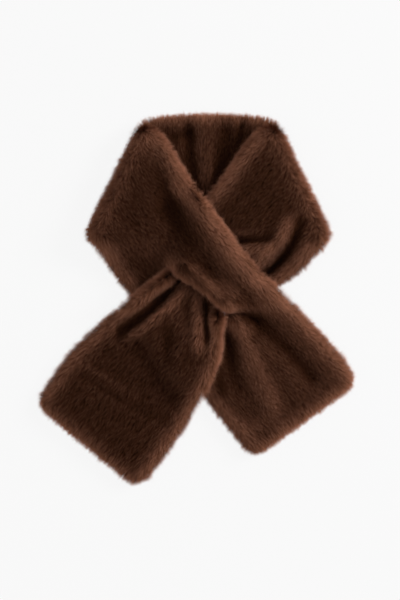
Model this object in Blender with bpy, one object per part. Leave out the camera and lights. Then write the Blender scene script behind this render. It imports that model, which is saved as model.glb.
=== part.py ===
"""Fur collar wrap: one long strip with fur on both faces, laid flat on a table.

The strip runs behind the neck, turns over at a slanting fold on each side, and its one
end is pulled through a slit in the other. It is modelled as three lengths, each lofted
through a short table of cross sections: the back of the neck, the slit length (left
front, slit, right tail) and the pulled length (right front, slit, left tail). Each
length is cut into the stretches that show, and each stretch settles on those below it.

Metres, +Z up. The table top is z = 0, the neck opening points to +Y, and the origin is
the middle of the wrap's footprint.
"""

import math
from collections import namedtuple

import bmesh
import bpy
import numpy as np
from mathutils import Vector
from mathutils.bvhtree import BVHTree

# Driving sizes
STRIP_THICKNESS = 0.0165  # two knit backings with their pile, lying at rest
PINCHED_THICKNESS = 0.0140  # the same strip, gathered up inside the slit
FLATTENED_SHARE = 0.62  # of its thickness, what the strap beneath the pulled end keeps
SEAM_GAP = 0.0003  # between stretches that the strip goes on through
REST_GAP = 0.0006  # between a stretch and the cloth that it lies on
EDGE_BAND = 0.001  # height of the upright band where the two faces meet
TOP_ROUNDING = 0.018  # how far in from an edge the upper face reaches full height
UNDER_ROUNDING = 0.006  # how far in from an edge the under face touches down
EDGE_SHARE = 0.38  # height of an edge above the under face, as a share of thickness
RING_STEP = 0.009  # spacing of the rings along a stretch
PLAIN_RING_STEP = 0.012  # the same where a stretch has long, gentle folds
GATHERED_RING_STEP = 0.008  # the same where a stretch is gathered
STRAP_RING_STEP = 0.006  # the same along the straps beside the slit

# Draping: the table is sampled in square cells
CELL = 0.002
TABLE_HALF_X = 0.200
TABLE_HALF_Y = 0.220
CONTACT_REACH = 0.006  # cloth stays above anything this near
LIP_REACH = 0.005  # the same for the strap over the pulled end, by its ends
BEND_REACH = 0.010  # how far past a step cloth goes level, before it bends down
DRAPE_SLOPE = 0.8  # how steeply cloth then comes down
DRAPE_REACH = 0.050
EVENING_ROUNDS = 5  # rounds of evening out, which round off the bends

# One row for each cross section: its middle, the direction from its outer to its inner
# (neck side) edge in degrees, its width along that direction, and its thickness.
Section = namedtuple("Section", "x y turn width thick")
FULL = STRIP_THICKNESS
TIGHT = PINCHED_THICKNESS

NECK_LENGTH = (
    Section(-0.0903, 0.1300, 64.2, 0.1400, FULL),
    Section(-0.0530, 0.1315, 72.5, 0.1370, FULL),
    Section(0.0140, 0.1320, 90.0, 0.1345, FULL),
    Section(0.0810, 0.1315, 107.5, 0.1370, FULL),
    Section(0.1172, 0.1300, 115.4, 0.1400, FULL),
)
SLIT_SIDE_LENGTH = (
    Section(-0.0903, 0.1300, 64.2, 0.1400, FULL),
    Section(-0.0737, 0.1170, 60.3, 0.1430, FULL),
    Section(-0.0525, 0.0860, 55.5, 0.1355, FULL),
    Section(-0.0310, 0.0560, 51.0, 0.1310, FULL),
    Section(-0.0195, 0.0403, 48.2, 0.1295, FULL),
    Section(0.0045, 0.0085, 44.8, 0.1290, FULL),
    Section(0.0277, -0.0194, 42.6, 0.1320, FULL),
    Section(0.0480, -0.0430, 40.8, 0.1370, FULL),
    Section(0.0720, -0.0725, 39.0, 0.1410, FULL),
    Section(0.0968, -0.1014, 37.5, 0.1440, FULL),
    Section(0.1186, -0.1314, 36.0, 0.1420, FULL),
)
PULLED_LENGTH = (
    Section(0.1172, 0.1300, 115.4, 0.1400, FULL),
    Section(0.1030, 0.1185, 119.0, 0.1460, FULL),
    Section(0.0912, 0.1062, 123.5, 0.1420, FULL),
    Section(0.0740, 0.0843, 130.0, 0.1335, FULL),
    Section(0.0560, 0.0640, 137.0, 0.1255, FULL),
    Section(0.0400, 0.0440, 142.0, 0.1100, FULL),
    Section(0.0215, 0.0260, 140.5, 0.0820, TIGHT),
    Section(0.0053, 0.0114, 138.0, 0.0680, TIGHT),
    Section(-0.0085, -0.0065, 143.5, 0.0930, TIGHT),
    Section(-0.0220, -0.0280, 149.0, 0.1160, FULL),
    Section(-0.0380, -0.0515, 151.5, 0.1315, FULL),
    Section(-0.0545, -0.0725, 150.5, 0.1425, FULL),
    Section(-0.0705, -0.0935, 149.0, 0.1485, FULL),
    Section(-0.0870, -0.1165, 147.5, 0.1500, FULL),
    Section(-0.1040, -0.1410, 144.0, 0.1480, FULL),
    Section(-0.1181, -0.1598, 140.3, 0.1450, FULL),
)

# The slit: the rows of the slit length at which it starts and ends, and how far across
# the strip it lies at each
SLIT_START_ROW = 4
SLIT_END_ROW = 6
SLIT_START_ACROSS = 0.549
SLIT_END_ACROSS = 0.455
LOWER_LIP_BOW = 0.06  # how far across the lower lip is pushed, towards the outer edge
SLIT_FADE = 0.018  # length over which the slit's lips part
SLIT_LEAD = 0.045  # length beyond the slit, and into it, over which its sides draw level
LIP_BLEND = 0.18  # how far across the cloth comes down from the upper side to the lower
LIP_SHARE = 0.35  # how far it has come down by the line of the slit
LIP_MARGIN = 0.015  # how far across from the slit the pulled end keeps, as it comes out
PULLED_LEAD = 0.025  # length over which the pulled end comes up out of the slit
PULLED_SEAM_ROW = 7  # row of the pulled length at which it comes out of the slit

# One row for each soft fold on an upper face: a line from (x1, y1) to (x2, y2), pushed
# to its left by bow at its middle, its half width, and its height at each end. A ridge
# is positive and a crease negative.
Fold = namedtuple("Fold", "x1 y1 x2 y2 bow half_width height1 height2")
NECK_FOLDS = (
    Fold(-0.007, 0.178, -0.001, 0.122, 0.000, 0.0080, -0.0030, -0.0030),
    Fold(0.007, 0.182, 0.009, 0.118, 0.000, 0.0090, 0.0022, 0.0030),
    Fold(0.032, 0.182, 0.028, 0.126, 0.000, 0.0090, -0.0030, -0.0030),
    Fold(0.051, 0.194, 0.048, 0.160, 0.000, 0.0050, -0.0045, -0.0035),
    Fold(-0.026, 0.165, -0.004, 0.171, 0.002, 0.0060, -0.0025, -0.0030),
)
LEFT_FRONT_FOLDS = (
    Fold(-0.052, 0.150, 0.006, 0.048, -0.006, 0.0160, -0.0020, -0.0028),
    Fold(-0.090, 0.075, -0.050, 0.030, 0.000, 0.0140, 0.0015, 0.0020),
)
STRAP_OVER_FOLDS = (
    Fold(0.000, 0.060, 0.028, 0.022, 0.000, 0.0120, -0.0025, -0.0010),
    Fold(0.026, 0.010, 0.043, -0.006, 0.000, 0.0120, 0.0010, 0.0030),
)
RIGHT_TAIL_FOLDS = (
    Fold(0.034, -0.015, 0.071, -0.025, 0.003, 0.0065, -0.0060, -0.0025),
    Fold(0.041, -0.028, 0.080, -0.104, 0.003, 0.0110, 0.0040, 0.0020),
    Fold(0.071, -0.025, 0.125, -0.085, 0.002, 0.0110, -0.0030, -0.0020),
    Fold(0.035, -0.039, 0.024, -0.093, 0.000, 0.0100, -0.0030, -0.0020),
    Fold(0.047, -0.104, 0.071, -0.139, 0.000, 0.0100, -0.0015, -0.0015),
)
RIGHT_FRONT_FOLDS = (
    Fold(0.044, 0.060, 0.078, 0.067, 0.002, 0.0055, -0.0080, -0.0015),
    Fold(0.063, 0.045, 0.099, 0.083, -0.009, 0.0090, 0.0045, 0.0015),
    Fold(0.070, 0.028, 0.109, 0.083, -0.009, 0.0060, -0.0090, -0.0025),
    Fold(0.046, 0.074, 0.066, 0.086, 0.000, 0.0140, -0.0015, -0.0010),
)
LEFT_TAIL_FOLDS = (
    Fold(-0.028, 0.031, -0.093, -0.023, 0.000, 0.0090, 0.0035, 0.0010),
    Fold(-0.013, 0.021, -0.077, -0.038, -0.001, 0.0055, -0.0100, -0.0015),
    Fold(-0.006, 0.014, -0.071, -0.046, -0.001, 0.0090, 0.0040, 0.0015),
    Fold(-0.026, -0.033, -0.033, -0.066, 0.000, 0.0100, -0.0015, -0.0010),
    Fold(0.003, 0.001, 0.006, -0.050, 0.000, 0.0070, 0.0030, 0.0010),
    Fold(0.012, -0.001, 0.011, -0.041, 0.000, 0.0050, -0.0080, -0.0010),
    Fold(0.023, -0.020, 0.022, -0.071, 0.000, 0.0070, 0.0030, 0.0010),
)

# How a length ends: the edge's height as a share of thickness, the roundings, and the
# radii of its corners seen from above. At a fold the neck layer turns up and the front
# layer turns down, to make one round bend.
End = namedtuple("End", "edge_share top_rounding under_rounding inner_corner outer_corner")
TAIL_END = End(EDGE_SHARE, TOP_ROUNDING, UNDER_ROUNDING, 0.013, 0.013)
FOLD_UPPER_LAYER = End(0.0, STRIP_THICKNESS, UNDER_ROUNDING, 0.016, 0.008)
FOLD_LOWER_LAYER = End(1.0, UNDER_ROUNDING, STRIP_THICKNESS, 0.014, 0.008)
BUTTED = None  # the strip goes on in the next stretch

# Shares of TOP_ROUNDING at which an edge is sampled
EDGE_STEPS = (0.0, 0.07, 0.27, 0.6, 1.0)

FUR_COLOUR = (0.050, 0.021, 0.013, 1.0)
FUR_ROUGHNESS = 0.85


def smooth_step(value):
    """0 below 0, 1 above 1, and a soft S between."""
    value = min(max(value, 0.0), 1.0)
    return value * value * (3.0 - 2.0 * value)


def quarter_round(distance, radius):
    """Rises from 0 to 1 along a quarter circle as distance goes from 0 to radius."""
    if radius <= 0.0:
        return 1.0
    share = min(max(distance / radius, 0.0), 1.0)
    return math.sqrt(1.0 - (1.0 - share) ** 2)


class Length:
    """A length of the strip, as a smooth curve through the rows of a section table."""

    def __init__(self, rows):
        self.rows = np.array(rows)
        steps = np.hypot(np.diff(self.rows[:, 0]), np.diff(self.rows[:, 1]))
        self.stops = np.concatenate([[0.0], np.cumsum(steps)])
        self.slopes = np.gradient(self.rows, self.stops, axis=0)

    @property
    def total(self):
        return float(self.stops[-1])

    def section(self, along):
        """The section at a distance along, by cubic interpolation of every column."""
        last = len(self.stops) - 2
        i = min(max(int(np.searchsorted(self.stops, along)) - 1, 0), last)
        span = self.stops[i + 1] - self.stops[i]
        t = (along - self.stops[i]) / span
        row = (
            (2 * t**3 - 3 * t**2 + 1) * self.rows[i]
            + (t**3 - 2 * t**2 + t) * span * self.slopes[i]
            + (3 * t**2 - 2 * t**3) * self.rows[i + 1]
            + (t**3 - t**2) * span * self.slopes[i + 1]
        )
        return Section(*row)


class Slit:
    """The slit of the slit length: where it lies, and how its two sides part."""

    def __init__(self, length):
        self.start = float(length.stops[SLIT_START_ROW])
        self.end = float(length.stops[SLIT_END_ROW])

    def upper_lip(self, along):
        """How far across the strip the lip of the strap over the pulled end lies."""
        t = min(max((along - self.start) / (self.end - self.start), 0.0), 1.0)
        return SLIT_START_ACROSS + (SLIT_END_ACROSS - SLIT_START_ACROSS) * t

    def lower_lip(self, along):
        """How far across the lip of the strap beneath the pulled end lies."""
        t = (along - self.start) / (self.end - self.start)
        return self.upper_lip(along) + LOWER_LIP_BOW * 4.0 * t * (1.0 - t)

    def opening(self, along):
        """0 at the slit's two ends and beyond them, 1 where its lips are fully apart."""
        nearest_end = min(along - self.start, self.end - along)
        return smooth_step(nearest_end / SLIT_FADE)

    def share_below(self, along, across):
        """0 where the strip passes over the pulled end, towards 1 where it comes down."""
        beyond = max(self.start - along, along - self.end)
        side = smooth_step((across - self.upper_lip(along)) / LIP_BLEND + LIP_SHARE)
        if beyond > 0.0:
            return side * (1.0 - smooth_step(beyond / SLIT_LEAD))
        return side * (1.0 - self.opening(along))


def corner_inset(distance, radius):
    """How far a rounded corner has taken the side in, at a distance from the end."""
    short = max(radius - distance, 0.0)
    return radius - math.sqrt(radius**2 - short**2)


def point_across(section, across, insets):
    """Table position at a share across the section, from inner (0) to outer (1) edge."""
    turn = math.radians(section.turn)
    from_inner = insets[0] + across * (section.width - insets[0] - insets[1])
    offset = section.width / 2.0 - from_inner
    return section.x + offset * math.cos(turn), section.y + offset * math.sin(turn)


def fold_height(folds, x, y):
    """Sum of the soft folds at a table position."""
    height = 0.0
    for fold in folds:
        dx = fold.x2 - fold.x1
        dy = fold.y2 - fold.y1
        span = math.hypot(dx, dy)
        t = ((x - fold.x1) * dx + (y - fold.y1) * dy) / span**2
        t = min(max(t, 0.0), 1.0)
        bow = fold.bow * 4.0 * t * (1.0 - t)
        line_x = fold.x1 + t * dx - bow * dy / span
        line_y = fold.y1 + t * dy + bow * dx / span
        away = math.hypot(x - line_x, y - line_y) / fold.half_width
        height += (fold.height1 + (fold.height2 - fold.height1) * t) * math.exp(-away * away)
    return height


# Height maps of the table: arrays of cells, indexed by row (y) and column (x)


def cell_axes():
    """The x of each column and the y of each row of a height map."""
    columns = np.arange(-TABLE_HALF_X, TABLE_HALF_X + CELL / 2, CELL)
    rows = np.arange(-TABLE_HALF_Y, TABLE_HALF_Y + CELL / 2, CELL)
    return columns, rows


def bare_table():
    columns, rows = cell_axes()
    return np.zeros((len(rows), len(columns)))


def shifted(cells, down, right):
    """The map moved by whole cells, with bare table coming in at the sides."""
    moved = np.zeros_like(cells)
    rows, columns = cells.shape
    moved[max(down, 0) : rows + min(down, 0), max(right, 0) : columns + min(right, 0)] = (
        cells[max(-down, 0) : rows - max(down, 0), max(-right, 0) : columns - max(right, 0)]
    )
    return moved


def spread_up(cells, reach, slope):
    """The highest of each cell's neighbours within reach, less slope times distance."""
    steps = int(round(reach / CELL))
    result = cells.copy()
    for down in range(-steps, steps + 1):
        for right in range(-steps, steps + 1):
            away = math.hypot(down, right) * CELL
            if 0.0 < away <= reach:
                result = np.maximum(result, shifted(cells, down, right) - slope * away)
    return result


def contact(*supports):
    """The lowest that cloth may lie on these supports: above all that is near."""
    return spread_up(np.maximum.reduce(supports), CONTACT_REACH, 0.0)


def evened(cells):
    """The map with its steps and corners rounded off."""
    for _ in range(EVENING_ROUNDS):
        around = [shifted(cells, down, right) for down in (-1, 0, 1) for right in (-1, 0, 1)]
        cells = np.mean(around, axis=0)
    return cells


def draped(*supports):
    """How cloth lies on these supports: it leaves each step at an even, soft slope."""
    level = spread_up(np.maximum.reduce(supports), BEND_REACH, 0.0)
    soft = evened(spread_up(level, DRAPE_REACH, DRAPE_SLOPE))
    return np.maximum(soft, contact(*supports))


def height_at(cells, x, y):
    """The map's height at a table position, between its four nearest cells."""
    column = (x + TABLE_HALF_X) / CELL
    row = (y + TABLE_HALF_Y) / CELL
    c = min(max(int(column), 0), cells.shape[1] - 2)
    r = min(max(int(row), 0), cells.shape[0] - 2)
    fx = column - c
    fy = row - r
    low = cells[r, c] * (1 - fx) + cells[r, c + 1] * fx
    high = cells[r + 1, c] * (1 - fx) + cells[r + 1, c + 1] * fx
    return float(low * (1 - fy) + high * fy)


def resting_on(cells):
    """A rest function that keeps a gap above a map, and touches bare table."""

    def rest(x, y, along, across):
        height = height_at(cells, x, y)
        return height + REST_GAP * smooth_step(height / EDGE_BAND)

    return rest


def resting_beside(slit, over_rest, below_rest):
    """A rest function that goes from one to another across the slit."""

    def rest(x, y, along, across):
        share = slit.share_below(along, across)
        over_height = over_rest(x, y, along, across)
        return over_height + (below_rest(x, y, along, across) - over_height) * share

    return rest


def bulging_over(slit, beside, over, touching):
    """A rest function that goes up from one map to another where the slit's lips part."""
    beside_rest = resting_on(beside)
    over_rest = resting_on(over)
    touching_rest = resting_on(touching)

    def rest(x, y, along, across):
        low = beside_rest(x, y, along, across)
        high = over_rest(x, y, along, across)
        height = low + (high - low) * slit.opening(along)
        return max(height, touching_rest(x, y, along, across))

    return rest


def rising_to(seam, start, finish):
    """A rest function that goes from one map to another past the pulled end's seam."""
    start_rest = resting_on(start)
    finish_rest = resting_on(finish)

    def rest(x, y, along, across):
        share = smooth_step((along - seam) / PULLED_LEAD)
        start_height = start_rest(x, y, along, across)
        return start_height + (finish_rest(x, y, along, across) - start_height) * share

    return rest


class Stretch:
    """One stretch of a length, as two grids of points: its upper and its under face."""

    def __init__(self, length, start, end, first=BUTTED, last=BUTTED):
        self.length = length
        self.start = start + (SEAM_GAP / 2 if first is BUTTED else 0.0)
        self.end = end - (SEAM_GAP / 2 if last is BUTTED else 0.0)
        self.first = first
        self.last = last
        self.slit = None
        self.inner_lip = None
        self.outer_lip = None
        self.shares = []
        self.upper = []
        self.under = []

    def beside(self, slit, inner_lip=None, outer_lip=None):
        """Makes this a strap: one or the other of its edges is a lip of the slit."""
        self.slit = slit
        self.inner_lip = inner_lip
        self.outer_lip = outer_lip
        return self

    def edges(self, along):
        """How far across the strip the stretch's two edges lie."""
        inner = self.inner_lip(along) if self.inner_lip else 0.0
        outer = self.outer_lip(along) if self.outer_lip else 1.0
        return inner, outer

    def ring_places(self, step):
        """Distances along at which the stretch is sampled, closer at a rounded end."""
        near = [share * TOP_ROUNDING for share in EDGE_STEPS]
        first = near if self.first else [0.0]
        last = near if self.last else [0.0]
        start = self.start + first[-1]
        end = self.end - last[-1]
        count = max(int(round((end - start) / step)), 2)
        middle = [start + (end - start) * i / count for i in range(1, count)]
        return (
            [self.start + place for place in first]
            + middle
            + [self.end - place for place in reversed(last)]
        )

    def places_across(self, along, width, spans):
        """Shares across at which a ring is sampled, closer at its two edges."""
        inner, outer = self.edges(along)
        edge = min(TOP_ROUNDING / (width * (outer - inner)), 0.3)
        middle = [edge + (1.0 - 2.0 * edge) * i / spans for i in range(1, spans)]
        shares = (
            [edge * step for step in EDGE_STEPS]
            + middle
            + [1.0 - edge * step for step in reversed(EDGE_STEPS)]
        )
        return [inner + (outer - inner) * share for share in shares]

    def end_shape(self, along):
        """The edge share, roundings and corner insets that the two ends give here."""
        edge_share = EDGE_SHARE
        top = under = 1.0
        insets = [0.0, 0.0]
        for end, distance in ((self.first, along - self.start), (self.last, self.end - along)):
            if end is BUTTED:
                continue
            blend = smooth_step(distance / (2.0 * TOP_ROUNDING))
            edge_share += (end.edge_share - EDGE_SHARE) * (1.0 - blend)
            top *= quarter_round(distance, end.top_rounding)
            under *= quarter_round(distance, end.under_rounding)
            insets[0] = max(insets[0], corner_inset(distance, end.inner_corner))
            insets[1] = max(insets[1], corner_inset(distance, end.outer_corner))
        return edge_share, top, under, insets

    def side_shape(self, across, width, along):
        """How full the upper and under faces are, from the edges on each side."""
        top = under = 1.0
        for edge, lip in zip(self.edges(along), (self.inner_lip, self.outer_lip)):
            opening = self.slit.opening(along) if lip else 1.0
            distance = abs(across - edge) * width
            top *= quarter_round(distance, TOP_ROUNDING * opening)
            under *= quarter_round(distance, UNDER_ROUNDING * opening)
        return top, under

    def settle(self, rest, folds=(), spans=9, step=RING_STEP, flattened=1.0):
        """Lays the stretch down by a rest function, and shapes its two faces."""
        for along in self.ring_places(step):
            section = self.length.section(along)
            edge_share, end_top, end_under, insets = self.end_shape(along)
            body = section.thick * flattened
            shares = self.places_across(along, section.width, spans)
            upper = []
            under = []
            for across in shares:
                x, y = point_across(section, across, insets)
                base = rest(x, y, along, across)
                side_top, side_under = self.side_shape(across, section.width, along)
                top = side_top * end_top
                thick = body + fold_height(folds, x, y) * top
                edge = edge_share * (body - EDGE_BAND)
                drop = (body - EDGE_BAND - edge) * (1.0 - top)
                upper.append((x, y, base + thick - drop))
                under.append((x, y, base + edge * (1.0 - side_under * end_under)))
            self.shares.append(shares)
            self.upper.append(upper)
            self.under.append(under)
        return self

    def height_map(self, beyond=0.0):
        """The upper face's height in each cell, of the part beyond this share across."""
        corners = [Vector(point) for ring in self.upper for point in ring]
        count = len(self.upper[0])
        faces = [
            (r * count + c, r * count + c + 1, (r + 1) * count + c + 1, (r + 1) * count + c)
            for r in range(len(self.upper) - 1)
            for c in range(count - 1)
            if min(self.shares[r][c], self.shares[r + 1][c]) >= beyond
        ]
        tree = BVHTree.FromPolygons(corners, faces)
        columns, rows = cell_axes()
        found = bare_table()
        down = Vector((0.0, 0.0, -1.0))
        for r, y in enumerate(rows):
            for c, x in enumerate(columns):
                place = tree.ray_cast(Vector((x, y, 1.0)), down)[0]
                if place is not None:
                    found[r, c] = place.z
        return found


def fur_material(name):
    """Deep brown pile, with no shine of its own."""
    material = bpy.data.materials.new(name)
    material.use_nodes = True
    shader = material.node_tree.nodes["Principled BSDF"]
    shader.inputs["Base Color"].default_value = FUR_COLOUR
    shader.inputs["Roughness"].default_value = FUR_ROUGHNESS
    shader.inputs["Metallic"].default_value = 0.0
    return material


def add_stretch(name, stretch, collection):
    """Closes a stretch's two faces with walls all round, as one solid."""
    mesh = bpy.data.meshes.new(name)
    shape = bmesh.new()
    upper = [[shape.verts.new(point) for point in ring] for ring in stretch.upper]
    under = [[shape.verts.new(point) for point in ring] for ring in stretch.under]
    rings = len(upper)
    count = len(upper[0])
    for r in range(rings - 1):
        for c in range(count - 1):
            shape.faces.new((upper[r][c], upper[r][c + 1], upper[r + 1][c + 1], upper[r + 1][c]))
            shape.faces.new((under[r][c], under[r + 1][c], under[r + 1][c + 1], under[r][c + 1]))
        for c in (0, count - 1):
            shape.faces.new((upper[r][c], upper[r + 1][c], under[r + 1][c], under[r][c]))
    for r in (0, rings - 1):
        for c in range(count - 1):
            shape.faces.new((upper[r][c], upper[r][c + 1], under[r][c + 1], under[r][c]))
    bmesh.ops.recalc_face_normals(shape, faces=shape.faces)
    shape.to_mesh(mesh)
    shape.free()
    mesh.materials.append(fur_material(name + "_fur"))
    mesh.shade_smooth()
    mesh.set_sharp_from_angle(angle=math.radians(50.0))
    stretch_object = bpy.data.objects.new(name, mesh)
    collection.objects.link(stretch_object)
    return stretch_object


def footprint_middle(stretches):
    """The middle, on the table, of the box round all the stretches."""
    points = np.array([point for s in stretches for ring in s.upper + s.under for point in ring])
    low = points.min(axis=0)
    high = points.max(axis=0)
    return Vector(((low[0] + high[0]) / 2, (low[1] + high[1]) / 2, 0.0))


def build_wrap():
    """Lays the stretches down in the order in which they lie on each other."""
    neck_length = Length(NECK_LENGTH)
    slit_length = Length(SLIT_SIDE_LENGTH)
    pulled_length = Length(PULLED_LENGTH)
    pulled_seam = float(pulled_length.stops[PULLED_SEAM_ROW])
    slit = Slit(slit_length)

    neck_back = Stretch(neck_length, 0.0, neck_length.total, FOLD_LOWER_LAYER, FOLD_LOWER_LAYER)
    neck_back.settle(resting_on(bare_table()), NECK_FOLDS, spans=8, step=PLAIN_RING_STEP)
    neck_map = neck_back.height_map()

    over_neck = draped(neck_map)
    strap_under = Stretch(slit_length, slit.start, slit.end).beside(slit, inner_lip=slit.lower_lip)
    strap_under.settle(
        resting_on(over_neck), spans=6, step=STRAP_RING_STEP, flattened=FLATTENED_SHARE
    )
    strap_under_map = strap_under.height_map()

    right_front = Stretch(pulled_length, 0.0, pulled_seam, FOLD_UPPER_LAYER)
    below_pulled = draped(neck_map, strap_under_map)
    right_front.settle(resting_on(below_pulled), RIGHT_FRONT_FOLDS, spans=15)
    right_front_map = right_front.height_map()

    over_pulled = draped(neck_map, right_front_map)
    on_lower_side = resting_on(over_neck)
    either_side = resting_beside(slit, resting_on(over_pulled), on_lower_side)
    left_front = Stretch(slit_length, 0.0, slit.start, FOLD_UPPER_LAYER)
    left_front.settle(either_side, LEFT_FRONT_FOLDS, spans=12)
    right_tail = Stretch(slit_length, slit.end, slit_length.total, last=TAIL_END)
    right_tail.settle(either_side, RIGHT_TAIL_FOLDS, spans=12)

    lower_side = (
        left_front.height_map(SLIT_START_ACROSS + LIP_MARGIN),
        strap_under_map,
        right_tail.height_map(SLIT_END_ACROSS),
    )
    out_of_slit = rising_to(
        pulled_seam, np.maximum(below_pulled, contact(*lower_side)), draped(*lower_side)
    )
    left_tail = Stretch(pulled_length, pulled_seam, pulled_length.total, last=TAIL_END)
    left_tail.settle(out_of_slit, LEFT_TAIL_FOLDS, spans=17, step=GATHERED_RING_STEP)

    left_tail_map = left_tail.height_map()
    over_tail = draped(neck_map, right_front_map, left_tail_map)
    over_slit = bulging_over(slit, over_pulled, over_tail, spread_up(left_tail_map, LIP_REACH, 0.0))
    strap_over = Stretch(slit_length, slit.start, slit.end).beside(slit, outer_lip=slit.upper_lip)
    strap_over.settle(
        resting_beside(slit, over_slit, on_lower_side),
        STRAP_OVER_FOLDS,
        spans=7,
        step=STRAP_RING_STEP,
    )

    collection = bpy.data.collections.new("fur_collar_wrap")
    bpy.context.scene.collection.children.link(collection)
    stretches = {
        "neck_back": neck_back,
        "strap_under": strap_under,
        "right_front": right_front,
        "left_front": left_front,
        "right_tail": right_tail,
        "left_tail": left_tail,
        "strap_over": strap_over,
    }
    middle = footprint_middle(stretches.values())
    for name, stretch in stretches.items():
        add_stretch(name, stretch, collection).location = -middle


for old in list(bpy.data.objects):
    bpy.data.objects.remove(old, do_unlink=True)
build_wrap()
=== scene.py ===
import math

import bmesh
import bpy
import numpy as np
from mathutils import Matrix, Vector
from mathutils.bvhtree import BVHTree
from mathutils.kdtree import KDTree


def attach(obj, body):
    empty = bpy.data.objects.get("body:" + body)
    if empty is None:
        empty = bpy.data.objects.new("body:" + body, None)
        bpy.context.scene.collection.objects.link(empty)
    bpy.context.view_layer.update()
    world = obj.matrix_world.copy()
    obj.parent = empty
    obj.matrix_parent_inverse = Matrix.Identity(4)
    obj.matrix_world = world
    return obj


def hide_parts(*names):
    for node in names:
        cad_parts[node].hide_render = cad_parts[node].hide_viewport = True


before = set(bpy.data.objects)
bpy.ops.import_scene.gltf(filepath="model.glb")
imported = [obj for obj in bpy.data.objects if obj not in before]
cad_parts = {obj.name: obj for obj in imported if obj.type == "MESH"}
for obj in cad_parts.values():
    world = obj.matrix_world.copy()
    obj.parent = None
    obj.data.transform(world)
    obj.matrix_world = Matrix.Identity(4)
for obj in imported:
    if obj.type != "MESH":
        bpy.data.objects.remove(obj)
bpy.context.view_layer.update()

scene = bpy.context.scene
upwards = np.array([0.0, 0.0, 1.0])


def newObject(name, data):
    made = bpy.data.objects.new(name, data)
    scene.collection.objects.link(made)
    return made


# shader maths: an expression on a socket adds its Math nodes


class Socket:
    def __init__(self, finish, output):
        self.finish = finish
        self.output = output

    def math(self, operation, first, second):
        return self.finish.node("Math", {"operation": operation}, {0: first, 1: second})

    def __sub__(self, other):
        return self.math("SUBTRACT", self, other)

    def __rsub__(self, other):
        return self.math("SUBTRACT", other, self)

    def __mul__(self, other):
        return self.math("MULTIPLY", self, other)

    def __rmul__(self, other):
        return self.math("MULTIPLY", other, self)


class Finish:
    # one material, and the way to add a node to it
    def __init__(self, name):
        self.material = bpy.data.materials.new(name)
        self.material.use_nodes = True
        self.tree = self.material.node_tree
        self.shader = self.tree.nodes["Principled BSDF"]

    def node(self, kind, settings, sockets, output=0):
        made = self.tree.nodes.new("ShaderNode" + kind)
        for name, value in settings.items():
            if name == "stops":
                self.setStops(made.color_ramp, value)
            else:
                setattr(made, name, value)
        for place, value in sockets.items():
            self.feed(made.inputs[place], value)
        return Socket(self, made.outputs[output])

    def setStops(self, colours, stops):
        while len(colours.elements) < len(stops):
            colours.elements.new(0.5)
        for element, (place, colour) in zip(colours.elements, stops):
            element.position = place
            element.color = (*colour, 1.0)

    def feed(self, place, value):
        if isinstance(value, Socket):
            self.tree.links.new(value.output, place)
        else:
            place.default_value = value

    def mixed(self, share, first, second):
        # a Mix node takes its two colours at places 6 and 7, and gives the mix at 2
        return self.node("Mix", {"data_type": "RGBA"}, {0: share, 6: first, 7: second}, output=2)

    def set(self, name, value):
        self.feed(self.shader.inputs[name], value)


# camera and studio: straight down on the laid-out wrap, under broad, even light

studio = {
    "viewCentre": (0.0037, -0.0006),
    "viewLength": 0.648,  # what the long side of the picture takes in, at the table
    "cameraHeight": 2.8,
    "sensorWidth": 36.0,
    "floorSize": 8.0,
    "floorColour": (0.05, 0.05, 0.05, 1.0),
    "floorRoughness": 0.9,
    "floorGloss": 0.1,
    "floorGlow": 0.89,
    "white": (1.0, 1.0, 1.0, 1.0),
    "domeLight": 0.55,
    "keyPower": 50.0,
    "keyPlace": (1.8, 0.80, 1.1),
    "keySize": 0.9,
    "fillPower": 4.0,
    "fillPlace": (-1.1, -0.7, 1.6),
    "fillSize": 1.6,
}


def areaLight(name, place, size, power):
    light = bpy.data.lights.new(name, "AREA")
    light.shape = "DISK"
    light.size = size
    light.energy = power
    lamp = newObject(name, light)
    lamp.location = place
    lamp.rotation_euler = (-Vector(place)).to_track_quat("-Z", "Y").to_euler()


def makeStudio():
    camera = bpy.data.cameras.new("camera")
    camera.sensor_width = studio["sensorWidth"]
    camera.lens = studio["sensorWidth"] * studio["cameraHeight"] / studio["viewLength"]
    scene.camera = newObject("camera", camera)
    scene.camera.location = (*studio["viewCentre"], studio["cameraHeight"])

    world = bpy.data.worlds.new("softRoom")
    world.use_nodes = True
    background = world.node_tree.nodes["Background"]
    background.inputs["Color"].default_value = studio["white"]
    background.inputs["Strength"].default_value = studio["domeLight"]
    scene.world = world
    scene.view_settings.view_transform = "Standard"

    areaLight("keyLight", studio["keyPlace"], studio["keySize"], studio["keyPower"])
    areaLight("fillLight", studio["fillPlace"], studio["fillSize"], studio["fillPower"])

    half = studio["floorSize"] / 2
    mesh = bpy.data.meshes.new("floor")
    corners = [(-half, -half, 0), (half, -half, 0), (half, half, 0), (-half, half, 0)]
    mesh.from_pydata(corners, [], [(0, 1, 2, 3)])
    paper = Finish("paper")
    paper.set("Base Color", studio["floorColour"])
    paper.set("Emission Color", studio["white"])
    paper.set("Emission Strength", studio["floorGlow"])
    paper.set("Roughness", studio["floorRoughness"])
    paper.set("Specular IOR Level", studio["floorGloss"])
    mesh.materials.append(paper.material)
    newObject("floor", mesh)


# pile colours run from the root (0) to the tip (1) of each hair, darker towards the root, which is
# partly painted shade deep in the pile; every hair has its own tone, from dark and cool (0) to
# light and red (1), which carries painted light and shade as well as random grain

pileLook = {
    "darkHair": ((0.0, (0.0020, 0.0006, 0.0002)), (0.45, (0.0110, 0.0036, 0.0014)),
                 (0.8, (0.0420, 0.0140, 0.0058)), (1.0, (0.0800, 0.0290, 0.0135))),
    "lightHair": ((0.0, (0.0150, 0.0052, 0.0022)), (0.45, (0.1350, 0.0500, 0.0250)),
                  (0.8, (0.4000, 0.1640, 0.0950)), (1.0, (0.7200, 0.3500, 0.2350))),
    "roughness": 0.8,
    "gloss": 0.0,
}


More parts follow.
